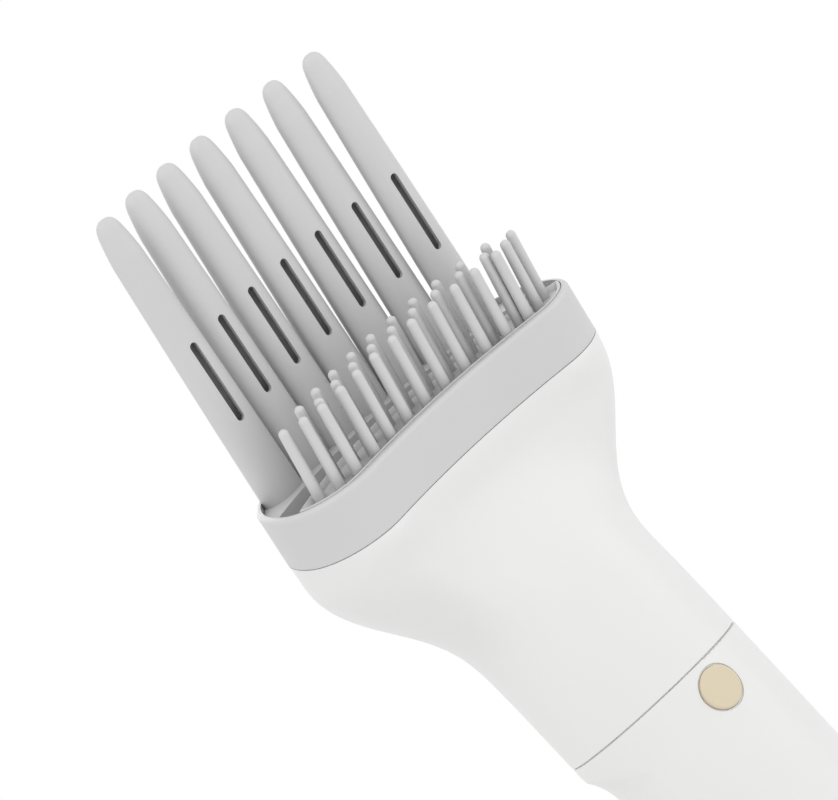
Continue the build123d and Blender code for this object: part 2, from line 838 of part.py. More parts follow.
def head_collar():
    """Rounded band round the mouth, with a ledge that carries the pad and the comb."""
    band = bean_prism(-collar_height, 0)
    band = fillet(band.faces().sort_by(Axis.Z)[-1].outer_wire().edges(), collar_edge)
    band -= collar_bore(-collar_height - 1, 1)
    ledge = collar_bore(-collar_height, ledge_top, -0.2)
    side = collar_side_wall + ledge_width
    front = collar_front_wall + ledge_width + 1
    back = collar_back_wall + ledge_width
    ledge -= bean_prism(-collar_height - 1, 0, side, front, back)
    deep = tongue_inset + tongue_wall
    tongue = bean_prism(-collar_height - tongue_depth, -collar_height, tongue_inset, tongue_inset, tongue_inset)
    tongue -= bean_prism(-collar_height - 10, 0, deep, deep, deep)
    collar = band + ledge + tongue
    for u, v in screw_points()[2:]:
        collar += block(u - 3, u + 3, v - 2.6, head_back - 3, -collar_height, ledge_top) & collar_bore(-collar_height, 0)
    for u, v in screw_points():
        collar -= Pos(u, v, 0) * disc(screw_radius + screw_gap, -collar_height - 5, 0)
        collar -= Pos(u, v, 0) * disc(screw_head_radius + 0.2, -collar_height - 5, -collar_height)
    return head_place * collar


def pin(length):
    """One moulded pin: a slim taper with a ball end, its foot sunk into the pad."""
    base = -pad_rim_height - 0.8
    cone = Pos(0, 0, base) * Cone(
        pin_foot_radius, pin_tip_radius, length - pin_tip_radius - base, align=top_align
    )
    return cone + Pos(0, 0, length - pin_tip_radius) * Sphere(pin_tip_radius)


def pin_places():
    """Foot of each pin as u, v and the row it stands in."""
    places = [(side * u, -v, 0) for u, v in front_row for side in (-1, 1)]
    for i in range(middle_row_count):
        u = (i - (middle_row_count - 1) / 2) * inner_row_pitch
        places.append((u, -middle_row_depth - middle_row_bend * u * u, 1))
    for i in range(back_row_count):
        u = (i - (back_row_count - 1) / 2) * inner_row_pitch
        places.append((u, -back_row_depth - back_row_bend * u * u, 2))
    return places


def pad_face(inset):
    """The pad's outline: the front of the collar's bore, cut off by a bowed back edge."""
    gap = pad_gap + inset
    outline = bean(collar_side_wall + gap, collar_front_wall + gap, collar_back_wall + gap)
    radius = pad_back_radius - inset
    return outline & (Pos(0, -pad_back - pad_back_radius) * Circle(radius))


def pin_pad():
    top = -pad_sink
    pad = Pos(0, 0, ledge_top) * extrude(pad_face(0), top - ledge_top)
    pad -= Pos(0, 0, top - pad_rim_height) * extrude(pad_face(pad_rim_width), pad_rim_height + 1)
    pad -= Pos(0, 0, ledge_top - 1) * extrude(pad_face(pad_wall), top - pad_thick - ledge_top + 1)
    for u, v in screw_points()[:2]:
        boss = Pos(u, v, 0) * disc(screw_radius + 1.2, ledge_top, top - 1)
        pad += boss
    for u, v in screw_points()[:2]:
        pad -= Pos(u, v, 0) * disc(screw_radius + screw_gap, ledge_top - 1, ledge_top + screw_grip - 1)
    pins = []
    for u, v, row in pin_places():
        pins.append(Pos(u, v, top) * Rot(pin_lean, 0, 0) * pin(pin_length + row * pin_row_step))
    return head_place * (pad + pins)


def tine_line(u):
    """How far back the tines' fronts stand at a place across the head."""
    return tine_front - u * u / 2 / tine_arc_radius


def tine_body(inset, low, high):
    """A bullet-shaped tine, flattened front to back and leaning back, with its front on v = 0."""
    foot = tine_foot_width / 2 - inset
    mid = tine_mid_width / 2 - inset
    shoulder = tine_shoulder_width / 2 - inset
    cap = high - tine_shoulder_height
    edges = [
        Line((0, low), (foot, low)),
        Line((foot, low), (foot, 0)),
        Spline((foot, 0), (mid, tine_mid_height), (shoulder, tine_shoulder_height)),
    ]
    if cap > 0:
        bow = (shoulder * 0.8, tine_shoulder_height + cap * 0.62)
        edges.append(Spline((shoulder, tine_shoulder_height), bow, (0, high), tangents=[(-0.1, 1), (-1, 0)]))
        edges.append(Line((0, high), (0, low)))
        profile = make_face([Plane.XZ * edge for edge in edges])
        body = revolve(profile, Axis.Z)
    else:
        edges.append(Line((shoulder, tine_shoulder_height), (0, tine_shoulder_height)))
        edges.append(Line((0, tine_shoulder_height), (0, low)))
        profile = make_face([Plane.XZ * edge for edge in edges])
        body = revolve(profile, Axis.Z) & disc(tine_foot_width, low, high)
    body = scale(body, by=(1, tine_flatness, 1))
    centre = tine_foot_width / 2 * tine_flatness
    return Pos(0, centre, 0) * Rot(-tine_lean, 0, 0) * body


def comb_foot(inset, low, high):
    """The comb's curved foot, which fills the mouth from a shelf before the tines to their backs."""
    front = tine_arc_radius + inset
    thick = comb_shelf + tine_foot_width * tine_flatness - comb_web_inset
    back = tine_arc_radius + thick - inset
    centre = tine_front - comb_shelf - tine_arc_radius
    web = Pos(0, centre) * (Circle(back) - Circle(front))
    web &= Pos(0, head_half_width) * Rectangle(2 * head_half_width, 4 * head_half_width)
    return (Pos(0, 0, low) * extrude(web, high - low)) & collar_bore(low, high, comb_gap + inset)


def tine_comb():
    """Seven hollow tines on a curved foot, each with an air slot in its front."""
    low = ledge_top
    comb = comb_foot(0, low, comb_web_top) - comb_foot(comb_wall, low - 1, comb_web_top - comb_plate)
    for u, v in screw_points()[2:]:
        comb += Pos(u, v, 0) * disc(screw_radius + comb_wall, low, comb_web_top - comb_plate / 2)
    tine = tine_body(0, low - 3, tine_height)
    duct = tine_body(tine_wall, low - 4, tine_slot_top + 2)
    slot_middle = (tine_slot_foot + tine_slot_top) / 2
    slot = front_prism(upright_slot(tine_slot_width, tine_slot_top - tine_slot_foot), slot_middle, -4, 6)
    places = [(i - (tine_count - 1) / 2) * tine_pitch for i in range(tine_count)]
    for u in places:
        comb += Pos(u, tine_line(u), 0) * tine
    for u in places:
        comb -= Pos(u, tine_line(u), 0) * duct
        comb -= Pos(u, tine_line(u), 0) * slot
    reach = 2 * head_half_width
    comb -= block(-reach, reach, -reach, reach, low - 10, low)
    comb -= block(-reach, reach, -reach, reach, low, 0.2) - collar_bore(low - 1, 1, comb_gap)
    for u, v in screw_points()[2:]:
        comb -= Pos(u, v, 0) * disc(screw_radius + screw_gap, low - 1, low + screw_grip - 1)
    return head_place * comb


def head_screws():
    pieces = []
    for u, v in screw_points():
        pieces.append((head_place * screw(Pos(u, v, 0), -collar_height, screw_grip)).solid())
    return Compound(children=pieces)


nodes = {
    "handle_barrel": handle_barrel,
    "outlet_spigot": outlet_spigot,
    "outlet_grille": outlet_grille,
    "latch_arm": latch_arm,
    "release_button": release_button,
    "power_slider": power_slider,
    "slider_carrier": slider_carrier,
    "slide_switch": slide_switch,
    "control_board": control_board,
    "heater_liner": heater_liner,
    "heater_cards": heater_cards,
    "heater_coils": heater_coils,
    "thermal_cutout": thermal_cutout,
    "motor_housing": motor_housing,
    "motor_can": motor_can,
    "motor_stator": motor_stator,
    "shaft_bearings": shaft_bearings,
    "motor_shaft": motor_shaft,
    "rotor_magnet": rotor_magnet,
    "impeller": impeller,
    "tail_cap": tail_cap,
    "cap_screws": cap_screws,
    "intake_cage": intake_cage,
    "cage_screws": cage_screws,
    "filter_cover": filter_cover,
    "filter_mesh": filter_mesh,
    "cord_gland": cord_gland,
    "contact_carrier": contact_carrier,
    "supply_leads": supply_leads,
    "nozzle_shell": nozzle_shell,
    "coupling_sleeve": coupling_sleeve,
    "outlet_seal": outlet_seal,
    "air_guide": air_guide,
    "head_collar": head_collar,
    "pin_pad": pin_pad,
    "tine_comb": tine_comb,
    "head_screws": head_screws,
}

os.makedirs("parts", exist_ok=True)
for name, make in nodes.items():
    save(name, make())
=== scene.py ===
"""Looks of the hot air styler: materials, small moulded details, studio and camera.

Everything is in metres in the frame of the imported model: +Z runs up the handle, and the front,
with the button and the pins, faces -Y.
"""

import json
import math

import bmesh
import bpy
from mathutils import Matrix, Vector


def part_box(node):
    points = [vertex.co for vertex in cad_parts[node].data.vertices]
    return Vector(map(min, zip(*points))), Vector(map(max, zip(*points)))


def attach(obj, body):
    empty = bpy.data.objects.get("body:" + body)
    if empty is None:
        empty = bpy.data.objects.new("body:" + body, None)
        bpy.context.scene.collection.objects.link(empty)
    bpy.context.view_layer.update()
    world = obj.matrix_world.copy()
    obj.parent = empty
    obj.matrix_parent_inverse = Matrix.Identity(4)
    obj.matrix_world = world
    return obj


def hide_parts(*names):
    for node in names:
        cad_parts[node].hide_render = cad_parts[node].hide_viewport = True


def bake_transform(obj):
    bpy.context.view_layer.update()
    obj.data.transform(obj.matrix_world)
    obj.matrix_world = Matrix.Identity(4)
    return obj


MM = 0.001
MICRONS = 1e6

# Camera, fitted to the photograph: where the eye is, and the way it looks, in degrees
EYE = Vector((-0.3960, -0.6930, 0.2488))
VIEW_AZIMUTH = -30.21
VIEW_ELEVATION = -1.71
VIEW_ROLL = -42.91
LENS_MM = 155.25
SENSOR_MM = 36.0
CLIP_NEAR = 0.01
CLIP_FAR = 20

# Studio: a round pale floor, a soft sky, and three lamps that face the middle of the head
SKY_STRENGTH = 0.90
FLOOR_RADIUS = 0.80
FLOOR_SIDES = 96
FLOOR_DROP = 0.2 * MM
LAMP_TARGET = Vector((0, 0, 0.27))
LAMPS = {
    "key": {"place": Vector((-0.55, -0.75, 0.95)), "size": (0.9, 0.9), "watts": 2.4},
    "fill": {"place": Vector((0.75, -0.55, 0.35)), "size": (0.6, 0.8), "watts": 0.9},
    "back": {"place": Vector((0.25, 0.75, 0.75)), "size": (0.6, 0.6), "watts": 1.5},
}

# Stops of the power switch, marked beside it with plain numbers
MARK_TEXTS = ("0", "1", "2")
MARK_HEIGHT = 3.4 * MM
MARK_HALF_WIDTH = MARK_HEIGHT / 4
MARK_THICKNESS = 0.04 * MM
MARK_GAP = 2.6 * MM

# The head's own frame: its mouth lies in the plane w = 0, tilted forward at this height
HEAD_HEIGHT = 278.4 * MM
HEAD_TILT = 20.9

# Finger scoop that narrows the back of the handle: a turned body set forward by the shift
SCOOP_SHIFT = 3.0 * MM
SCOOP_DEPTH = 4.5 * MM
SCOOP_TOP = 187.8 * MM
SCOOP_TOP_ARC = 14.0 * MM
SCOOP_FOOT = 64.0 * MM
SCOOP_FOOT_ARC = 200.0 * MM
SCOOP_STEP = 1.0 * MM

# Stretch of the latch's spring strip that bends, from its stake to the button's stem
SPRING_FOOT = 156.0 * MM
SPRING_TOP = 180.5 * MM
SPRING_STEP = 1.0 * MM

# Lip round the pin pad, as inset and level in the head's frame
PAD_TOP = -0.4 * MM
LIP_SECTION = [
    (0.02 * MM, -0.90 * MM),
    (0.02 * MM, 0.12 * MM),
    (0.09 * MM, 0.24 * MM),
    (0.20 * MM, 0.30 * MM),
    (0.42 * MM, 0.30 * MM),
    (0.60 * MM, 0.22 * MM),
    (1.35 * MM, -0.62 * MM),
    (1.60 * MM, -0.95 * MM),
]

# Bead in the groove between the collar and the nozzle's shell, as inset and level
COLLAR_FOOT = -12.8 * MM
COLLAR_BEAD_SECTION = [
    (0.25 * MM, -13.03 * MM),
    (0.18 * MM, -12.98 * MM),
    (0.18 * MM, -12.87 * MM),
    (0.25 * MM, -12.82 * MM),
    (0.90 * MM, -12.82 * MM),
    (0.90 * MM, -13.03 * MM),
]

# Bead in the seam between the handle and the nozzle, as radius and height
SEAM_BEAD_SECTION = [
    (22.6 * MM, 189.80 * MM),
    (23.4 * MM, 189.80 * MM),
    (23.54 * MM, 189.90 * MM),
    (23.54 * MM, 190.04 * MM),
    (23.46 * MM, 190.10 * MM),
    (22.6 * MM, 190.10 * MM),
]
SEAM_BEAD_SIDES = 160

# Lining of the hole round the release button: its reach, and how far it sinks into the wall
BUTTON_HEIGHT = 182.8 * MM
LINING_INNER = 5.07 * MM
LINING_OUTER = 5.60 * MM
LINING_SINK = 0.40 * MM
LINING_DEPTH = 1.20 * MM
LINING_SIDES = 96

# Strip that closes the slot of the power switch, and the steps that make one rib of it
SHUTTER_HALF = 3.6 * MM
SHUTTER_LOW = 97.0 * MM
SHUTTER_HIGH = 127.8 * MM
SHUTTER_FRONT = 21.15 * MM
SHUTTER_THICK = 0.5 * MM
SHUTTER_RIB_PITCH = 1.6 * MM
SHUTTER_RIB_DEPTH = 0.12 * MM
SHUTTER_RIB_STEPS = 4
SHUTTER_SUNK_STEPS = (1, 2)

# Mesh work: how near counts as welded, as cut, as the outer skin and as the same level
WELD_REACH = 0.002 * MM
CUT_REACH = 0.0001 * MM
SKIN_REACH = 0.05 * MM
LEVEL_REACH = 0.004 * MM
TUBE_SHARP_ANGLE = 30
TRIM_SHARP_ANGLE = 50
LEAST_CORNER = 0.35

# Noise in the materials, in waves per metre, and the range that its values mostly keep to
DRIFT_SCALE = 38.0
DRIFT_DETAIL = 3.0
GLOSS_SCALE = 210.0
GLOSS_DETAIL = 4.0
GRAIN_DETAIL = 2.0
NOISE_RANGE = (0.3, 0.7)
# Samples of the ambient occlusion that paints shade into slots and gaps
PAINTED_SHADE_SAMPLES = 4

# Moulded plastics by material slot: colour and its drift, gloss, skin grain and its relief.
# Where one has painted crevice shade, it is a reach and the share of the colour that is left deep in slots and
# gaps: ambient occlusion painted into the colour as shade.
PLASTICS = {
    "white_shell": {
        "name": "shell_white",
        "colour": (0.785, 0.785, 0.78),
        "drift": 0.008,
        "rough": (0.33, 0.40),
        "grain": 2600.0,
        "relief": 0.004 * MM,
    },
    "grey_trim": {
        "name": "trim_grey",
        "colour": (0.61, 0.61, 0.61),
        "drift": 0.012,
        "rough": (0.38, 0.48),
        "grain": 2200.0,
        "relief": 0.006 * MM,
        # Painted shade in slots and gaps, by ambient occlusion
        "painted_crevice_shade": (6.0 * MM, 0.5),
    },
    "beige_button": {
        "name": "button_beige",
        "colour": (0.685, 0.597, 0.436),
        "drift": 0.015,
        "rough": (0.30, 0.38),
        "grain": 2400.0,
        "relief": 0.004 * MM,
    },
    "dark_inner": {
        "name": "inner_dark",
        "colour": (0.030, 0.030, 0.033),
        "drift": 0.10,
        "rough": (0.50, 0.65),
        "grain": 1500.0,
        "relief": 0.02 * MM,
    },
    "nylon_white": {
        "name": "nylon",
        "colour": (0.62, 0.61, 0.57),
        "drift": 0.03,
        "rough": (0.42, 0.55),
        "grain": 1800.0,
        "relief": 0.01 * MM,
    },
    "seal_rubber": {
        "name": "seal_grey",
        "colour": (0.045, 0.045, 0.05),
        "drift": 0.10,
        "rough": (0.68, 0.80),
        "grain": 1400.0,
        "relief": 0.02 * MM,
        "specular": 0.25,
    },
    "lead_rubber": {
        "name": "lead_black",
        "colour": (0.018, 0.018, 0.020),
        "drift": 0.10,
        "rough": (0.60, 0.72),
        "grain": 1600.0,
        "relief": 0.02 * MM,
        "specular": 0.3,
    },
    "card_mica": {
        "name": "mica",
        "colour": (0.48, 0.39, 0.24),
        "drift": 0.12,
        "rough": (0.45, 0.62),
        "grain": 900.0,
        "relief": 0.03 * MM,
        "specular": 0.6,
    },
}

PIN_PLASTIC = {
    "name": "pin_grey",
    "colour": (0.62, 0.62, 0.62),
    "drift": 0.012,
    "rough": (0.34, 0.44),
    "grain": 2200.0,
    "relief": 0.004 * MM,
    # Painted shade in the gaps between the pins, by ambient occlusion
    "painted_crevice_shade": (4.0 * MM, 0.7),
}

MARK_INK = {
    "name": "ink_grey",
    "colour": (0.09, 0.09, 0.095),
    "drift": 0.06,
    "rough": (0.45, 0.55),
    "grain": 1800.0,
    "relief": 0.004 * MM,
}

FLOOR_PLASTIC = {
    "name": "floor_pale",
    "colour": (0.86, 0.86, 0.86),
    "drift": 0.004,
    "rough": (0.75, 0.85),
    "grain": 60.0,
    "relief": 0.01 * MM,
    "specular": 0.1,
}

# Metals by material slot: two colours, gloss, and how the fine lines are stretched along x, y, z
METAL_LINE_SCALE = 900.0
METAL_LINE_DETAIL = 4.0
METAL_LINE_RELIEF = 0.01 * MM
METALS = {
    "steel": {
        "name": "steel_drawn",
        "low": (0.42, 0.43, 0.44),
        "high": (0.58, 0.59, 0.60),
        "rough": (0.26, 0.40),
        "stretch": (1, 1, 0.08),
    },
    "aluminium": {
        "name": "aluminium_turned",
        "low": (0.60, 0.61, 0.62),
        "high": (0.74, 0.75, 0.76),
        "rough": (0.30, 0.42),
        "stretch": (0.1, 0.1, 1),
    },
    "bronze": {
        "name": "bronze_sintered",
        "low": (0.42, 0.28, 0.13),
        "high": (0.58, 0.40, 0.20),
        "rough": (0.38, 0.55),
        "stretch": (1, 1, 1),
    },
}

# Wire cloth of the filter's mesh; its holes are painted near black as the shade seen through the cloth
WIRES_ROUND = 150
WIRE_PITCH = 0.95 * MM
WIRE_COLOUR = (0.50, 0.50, 0.51)
WIRE_HOLE_PAINTED_SHADE = (0.012, 0.012, 0.013)
WIRE_EDGE = (0.45, 0.75)
WIRE_ROUGH = (0.28, 0.45)
WIRE_GLOSS_SCALE = 500.0
WIRE_RELIEF = 0.15 * MM
WIRE_METALLIC = 0.9

# Circuit board's lacquer and the tracks under it
BOARD_CELL_SCALE = 260.0
BOARD_TRACK_WIDTH = 0.06
BOARD_DARK_GREEN = (0.02, 0.12, 0.05, 1)
BOARD_GREEN = (0.03, 0.16, 0.07, 1)
BOARD_TRACK_COLOUR = (0.16, 0.30, 0.12, 1)
BOARD_ROUGH = (0.28, 0.42)
BOARD_GLOSS_SCALE = 300.0

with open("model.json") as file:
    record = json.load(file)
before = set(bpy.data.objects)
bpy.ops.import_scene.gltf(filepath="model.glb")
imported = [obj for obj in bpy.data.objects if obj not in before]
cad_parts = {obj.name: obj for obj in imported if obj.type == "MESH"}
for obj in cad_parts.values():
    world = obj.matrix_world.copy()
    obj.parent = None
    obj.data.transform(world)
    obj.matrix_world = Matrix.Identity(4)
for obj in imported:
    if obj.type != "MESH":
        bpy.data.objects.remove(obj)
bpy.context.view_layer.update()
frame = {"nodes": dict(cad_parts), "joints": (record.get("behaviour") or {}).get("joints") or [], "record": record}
nodes = frame["nodes"]


# Parts of materials


def new_material(name):
    """A fresh node material, its tree and its shader."""
    material = bpy.data.materials.new(name)
    material.use_nodes = True
    return material, material.node_tree, material.node_tree.nodes["Principled BSDF"]


def noise(tree, scale, detail=DRIFT_DETAIL, stretch=None):
    """A noise texture in object space, so that its grain keeps its real size."""
    place = tree.nodes.new("ShaderNodeTexCoord")
    texture = tree.nodes.new("ShaderNodeTexNoise")
    texture.inputs["Scale"].default_value = scale
    texture.inputs["Detail"].default_value = detail
    if stretch is None:
        tree.links.new(place.outputs["Object"], texture.inputs["Vector"])
    else:
        mapping = tree.nodes.new("ShaderNodeMapping")
        mapping.inputs["Scale"].default_value = stretch
        tree.links.new(place.outputs["Object"], mapping.inputs["Vector"])
        tree.links.new(mapping.outputs["Vector"], texture.inputs["Vector"])
    return texture.outputs["Fac"]


def ramp(tree, factor, low, high, stretch=NOISE_RANGE):
    """Blends two colours over a stretch of a factor."""
    blend = tree.nodes.new("ShaderNodeValToRGB")
    for stop, position, colour in zip(blend.color_ramp.elements, stretch, (low, high)):
        stop.position = position
        stop.color = (*colour, 1)
    tree.links.new(factor, blend.inputs["Fac"])
    return blend.outputs["Color"]


def spread(tree, factor, low, high):
    """Maps a noise to a range of numbers."""
    reach = tree.nodes.new("ShaderNodeMapRange")
    reach.inputs["From Min"].default_value = NOISE_RANGE[0]
    reach.inputs["From Max"].default_value = NOISE_RANGE[1]
    reach.inputs["To Min"].default_value = low
    reach.inputs["To Max"].default_value = high
    tree.links.new(factor, reach.inputs["Value"])
    return reach.outputs["Result"]


def bump(tree, shader, height, depth):
    """Raises the surface by a factor times a depth in metres."""
    relief = tree.nodes.new("ShaderNodeBump")
    relief.inputs["Strength"].default_value = 1.0
    relief.inputs["Distance"].default_value = depth
    tree.links.new(height, relief.inputs["Height"])
    tree.links.new(relief.outputs["Normal"], shader.inputs["Normal"])


def paint_crevice_shade(tree, colour, reach, darkest_painted_shade):
    """Paints shade into a colour inside slots and narrow gaps, where little light gets in: ambient occlusion that
    darkens the colour itself.
    """
    shade = tree.nodes.new("ShaderNodeAmbientOcclusion")
    shade.samples = PAINTED_SHADE_SAMPLES
    shade.inputs["Distance"].default_value = reach
    depth = tree.nodes.new("ShaderNodeMapRange")
    depth.inputs["To Min"].default_value = darkest_painted_shade
    tree.links.new(shade.outputs["AO"], depth.inputs["Value"])
    mix = tree.nodes.new("ShaderNodeMix")
    mix.data_type = "RGBA"
    mix.blend_type = "MULTIPLY"
    mix.inputs["Factor"].default_value = 1.0
    tree.links.new(colour, mix.inputs["A"])
    tree.links.new(depth.outputs["Result"], mix.inputs["B"])
    return mix.outputs["Result"]


def math_node(tree, operation, first, second=None):
    """One step of arithmetic on two sockets or numbers."""
    node = tree.nodes.new("ShaderNodeMath")
    node.operation = operation
    for socket, value in zip(node.inputs, (first, second)):
        if isinstance(value, (int, float)):
            socket.default_value = value
        elif value is not None:
            tree.links.new(value, socket)
    return node.outputs[0]


# Materials


def plastic(name, colour, drift, rough, grain, relief, specular=0.5, painted_crevice_shade=None):
    """Moulded plastic: a slow drift of colour, uneven gloss and a fine skin grain."""
    material, tree, shader = new_material(name)
    low = tuple(c * (1 - drift) for c in colour)
    high = tuple(min(1.0, c * (1 + drift)) for c in colour)
    tint = ramp(tree, noise(tree, DRIFT_SCALE), low, high)
    # Painted shade: where asked, the colour is darkened by ambient occlusion in slots and narrow gaps
    if painted_crevice_shade is not None:
        tint = paint_crevice_shade(tree, tint, *painted_crevice_shade)
    gloss = spread(tree, noise(tree, GLOSS_SCALE, GLOSS_DETAIL), *rough)
    tree.links.new(tint, shader.inputs["Base Color"])
    tree.links.new(gloss, shader.inputs["Roughness"])
    bump(tree, shader, noise(tree, grain, GRAIN_DETAIL), relief)
    shader.inputs["Specular IOR Level"].default_value = specular
    return material


def metal(name, low, high, rough, stretch):
    """Drawn or turned metal with fine lines along one direction."""
    material, tree, shader = new_material(name)
    lines = noise(tree, METAL_LINE_SCALE, METAL_LINE_DETAIL, stretch)
    tree.links.new(ramp(tree, lines, low, high), shader.inputs["Base Color"])
    tree.links.new(spread(tree, lines, *rough), shader.inputs["Roughness"])
    bump(tree, shader, lines, METAL_LINE_RELIEF)
    shader.inputs["Metallic"].default_value = 1.0
    return material


def wire_cloth():
    """Fine wire cloth rolled into a tube about the Z axis: bright wires over holes painted near black as the shade
    seen through them.
    """
    material, tree, shader = new_material("wire_cloth")
    place = tree.nodes.new("ShaderNodeTexCoord")
    split = tree.nodes.new("ShaderNodeSeparateXYZ")
    tree.links.new(place.outputs["Object"], split.inputs["Vector"])
    turn = math_node(tree, "ARCTAN2", split.outputs["Y"], split.outputs["X"])
    upright = math_node(tree, "COSINE", math_node(tree, "MULTIPLY", turn, WIRES_ROUND))
    climb = math_node(tree, "MULTIPLY", split.outputs["Z"], 2 * math.pi / WIRE_PITCH)
    level = math_node(tree, "COSINE", climb)
    wire = math_node(tree, "MAXIMUM", upright, level)
    # Painted shade: the holes between the wires take a near-black colour
    tint = ramp(tree, wire, WIRE_HOLE_PAINTED_SHADE, WIRE_COLOUR, WIRE_EDGE)
    gloss = spread(tree, noise(tree, WIRE_GLOSS_SCALE), *WIRE_ROUGH)
    tree.links.new(tint, shader.inputs["Base Color"])
    tree.links.new(gloss, shader.inputs["Roughness"])
    bump(tree, shader, wire, WIRE_RELIEF)
    shader.inputs["Metallic"].default_value = WIRE_METALLIC
    return material


def circuit_board():
    """Circuit board: green lacquer with a fine pattern of tracks under it."""
    material, tree, shader = new_material("board")
    place = tree.nodes.new("ShaderNodeTexCoord")
    cells = tree.nodes.new("ShaderNodeTexBrick")
    cells.inputs["Scale"].default_value = BOARD_CELL_SCALE
    cells.inputs["Mortar Size"].default_value = BOARD_TRACK_WIDTH
    cells.inputs["Color1"].default_value = BOARD_DARK_GREEN
    cells.inputs["Color2"].default_value = BOARD_GREEN
    cells.inputs["Mortar"].default_value = BOARD_TRACK_COLOUR
    gloss = spread(tree, noise(tree, BOARD_GLOSS_SCALE), *BOARD_ROUGH)
    tree.links.new(place.outputs["Object"], cells.inputs["Vector"])
    tree.links.new(cells.outputs["Color"], shader.inputs["Base Color"])
    tree.links.new(gloss, shader.inputs["Roughness"])
    return material


looks = {slot: plastic(**values) for slot, values in PLASTICS.items()}
looks.update({slot: metal(**values) for slot, values in METALS.items()})
looks["board_green"] = circuit_board()

own_looks = {
    "filter_mesh": wire_cloth(),
    "pin_pad": plastic(**PIN_PLASTIC),
}

for row in frame["record"]["subparts"]:
    mesh = nodes[row["node"]].data
    mesh.materials.clear()
    mesh.materials.append(own_looks.get(row["node"], looks[row["material_slot"]]))


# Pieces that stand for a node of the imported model


def add_piece(name, mesh):
    """A new object in the scene."""
    piece = bpy.data.objects.new(name, mesh)
    bpy.context.scene.collection.objects.link(piece)
    return piece


def sliced(mesh, low, high, step):
    """A mesh's form for editing, with its faces cut at even heights so that they can bend."""
    form = bmesh.new()
    form.from_mesh(mesh)
    bmesh.ops.remove_doubles(form, verts=form.verts, dist=WELD_REACH)
    levels = round((high - low) / step)
    for i in range(levels + 1):
        bmesh.ops.bisect_plane(
            form,
            geom=form.verts[:] + form.edges[:] + form.faces[:],
            dist=CUT_REACH,
            plane_co=(0, 0, low + (high - low) * i / levels),
            plane_no=(0, 0, 1),
        )
    return form


def scoop_radius(height, rim):
    """Radius at a height of the turned body that the handle is narrowed to."""
    if height <= SCOOP_FOOT or height >= SCOOP_TOP:
        return rim
    radius = base = rim - SCOOP_DEPTH
    for arc, passed in ((SCOOP_TOP_ARC, SCOOP_TOP - height), (SCOOP_FOOT_ARC, height - SCOOP_FOOT)):
        arc_angle = math.acos(1 - SCOOP_DEPTH / arc)
        left = arc * math.sin(arc_angle) - passed
        if left > 0:
            radius = max(radius, base + arc - math.sqrt(arc**2 - left**2))
    return radius


def scooped_barrel(radius):
    """The handle's tube with the scoop pressed into the back of its outer skin."""
    mesh = nodes["handle_barrel"].data.copy()
    mesh.name = "scooped_barrel"
    form = sliced(mesh, SCOOP_FOOT, SCOOP_TOP, SCOOP_STEP)
    for vertex in form.verts:
        x, y, z = vertex.co
        if math.hypot(x, y) < radius - SKIN_REACH:
            continue
        reach = math.hypot(x, y + SCOOP_SHIFT)
        allowed = scoop_radius(z, radius + SCOOP_SHIFT)
        if reach > allowed:
            share = allowed / reach
            vertex.co = (x * share, (y + SCOOP_SHIFT) * share - SCOOP_SHIFT, z)
    form.to_mesh(mesh)
    form.free()
    mesh.shade_smooth()
    mesh.set_sharp_from_angle(angle=math.radians(TUBE_SHARP_ANGLE))
    piece = add_piece("scooped_barrel", mesh)
    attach(piece, "handle")
    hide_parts("handle_barrel")


def latch_spring():
    """The latch's strip, with its faces cut at even heights over the stretch that bends when the button's stem
    pushes it in.
    """
    mesh = nodes["latch_arm"].data.copy()
    mesh.name = "latch_spring"
    form = sliced(mesh, SPRING_FOOT, SPRING_TOP, SPRING_STEP)
    form.to_mesh(mesh)
    form.free()
    piece = add_piece("latch_spring", mesh)
    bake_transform(piece)
    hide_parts("latch_arm")


# Thin trim

tilt = math.radians(HEAD_TILT)
head_frame = Matrix.Translation((0, 0, HEAD_HEIGHT)) @ Matrix.Rotation(tilt, 4, "X")


def outer_loop(node, level):
    """The outer edge of a node's flat face at a level of the head's frame, as points u and v."""
    mesh = nodes[node].data
    inverse = head_frame.inverted()
    places = [inverse @ vertex.co for vertex in mesh.vertices]
    keys = [(round(place.x * MICRONS), round(place.y * MICRONS)) for place in places]
    uses = {}
    for polygon in mesh.polygons:
        if any(abs(places[i].z - level) > LEVEL_REACH for i in polygon.vertices):
            continue
        corners = [keys[i] for i in polygon.vertices]
        for first, second in zip(corners, corners[1:] + corners[:1]):
            edge = (min(first, second), max(first, second))
            uses[edge] = uses.get(edge, 0) + 1
    neighbours = {}
    for (first, second), count in uses.items():
        if count == 1 and first != second:
            neighbours.setdefault(first, []).append(second)
            neighbours.setdefault(second, []).append(first)
    step = max(neighbours)
    loop = []
    while step is not None:
        loop.append(step)
        ahead = [key for key in neighbours.pop(step) if key in neighbours]
        step = ahead[0] if ahead else None
    return [Vector((u / MICRONS, v / MICRONS)) for u, v in loop]


def inward(loop):
    """For each corner of a loop, the shift that sets both of its sides in by one."""
    area = sum(a.x * b.y - b.x * a.y for a, b in zip(loop, loop[1:] + loop[:1]))
    hand = 1 if area > 0 else -1
    shifts = []
    for before, point, after in zip(loop[-1:] + loop[:-1], loop, loop[1:] + loop[:1]):
        first = (point - before).normalized()
        second = (after - point).normalized()
        side = Vector((-first.y - second.y, first.x + second.x)) * hand
        shifts.append(side / max(LEAST_CORNER, 1 + first.dot(second)))
    return shifts


